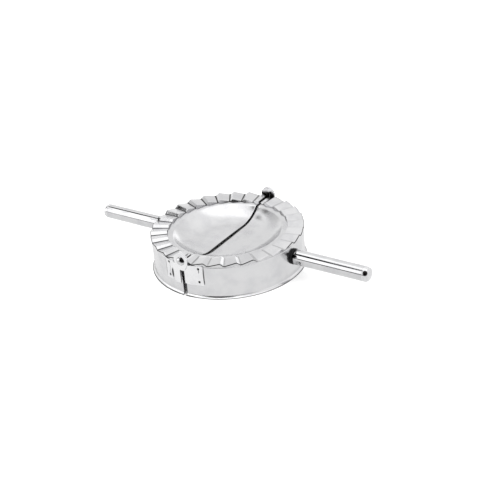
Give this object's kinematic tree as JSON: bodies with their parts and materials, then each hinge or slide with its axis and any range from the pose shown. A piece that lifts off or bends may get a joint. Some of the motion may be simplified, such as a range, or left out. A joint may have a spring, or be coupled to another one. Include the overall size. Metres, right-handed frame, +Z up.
{
  "type": "empanada press",
  "caption": "Folding dough press: hinged half rounds with shallow bowls and sawtooth crimping rims, with tubular handles, that cut, fold and seal a filled round of dough.",
  "frame": {"origin": "centre of the base, where the press stands open and flat", "axes": "+Z up, +X along the right handle, Y along the hinge, with the front hinge at -Y"},
  "size_m": [0.1914, 0.0992, 0.0277],
  "materials": {
    "sheet_steel": "polished",
    "handle_steel": "polished",
    "fastener_steel": "polished",
    "black_rubber": "satin"
  },
  "bodies": {
    "left_half": {"left_skirt": "sheet_steel", "left_bowl": "sheet_steel", "left_toothed_ring": "sheet_steel", "left_front_hinge_leaf": "sheet_steel", "left_back_hinge_leaf": "sheet_steel", "left_handle_tube": "handle_steel", "left_handle_end_cap": "handle_steel", "left_handle_insert": "fastener_steel", "left_handle_washer": "black_rubber", "left_handle_screw": "fastener_steel", "front_hinge_rivet": "fastener_steel"},
    "right_half": {"right_skirt": "sheet_steel", "right_bowl": "sheet_steel", "right_toothed_ring": "sheet_steel", "right_front_hinge_leaf": "sheet_steel", "right_back_hinge_leaf": "sheet_steel", "right_handle_tube": "handle_steel", "right_handle_end_cap": "handle_steel", "right_handle_insert": "fastener_steel", "right_handle_washer": "black_rubber", "right_handle_screw": "fastener_steel", "back_hinge_rivet": "fastener_steel"}
  },
  "joints": [
    {"name": "fold", "type": "hinge", "parent": "left_half", "child": "right_half", "pos_m": [0, 0, 0.02301], "axis": [0, -1, 0], "range_deg": [-3.5, 180]}
  ]
}
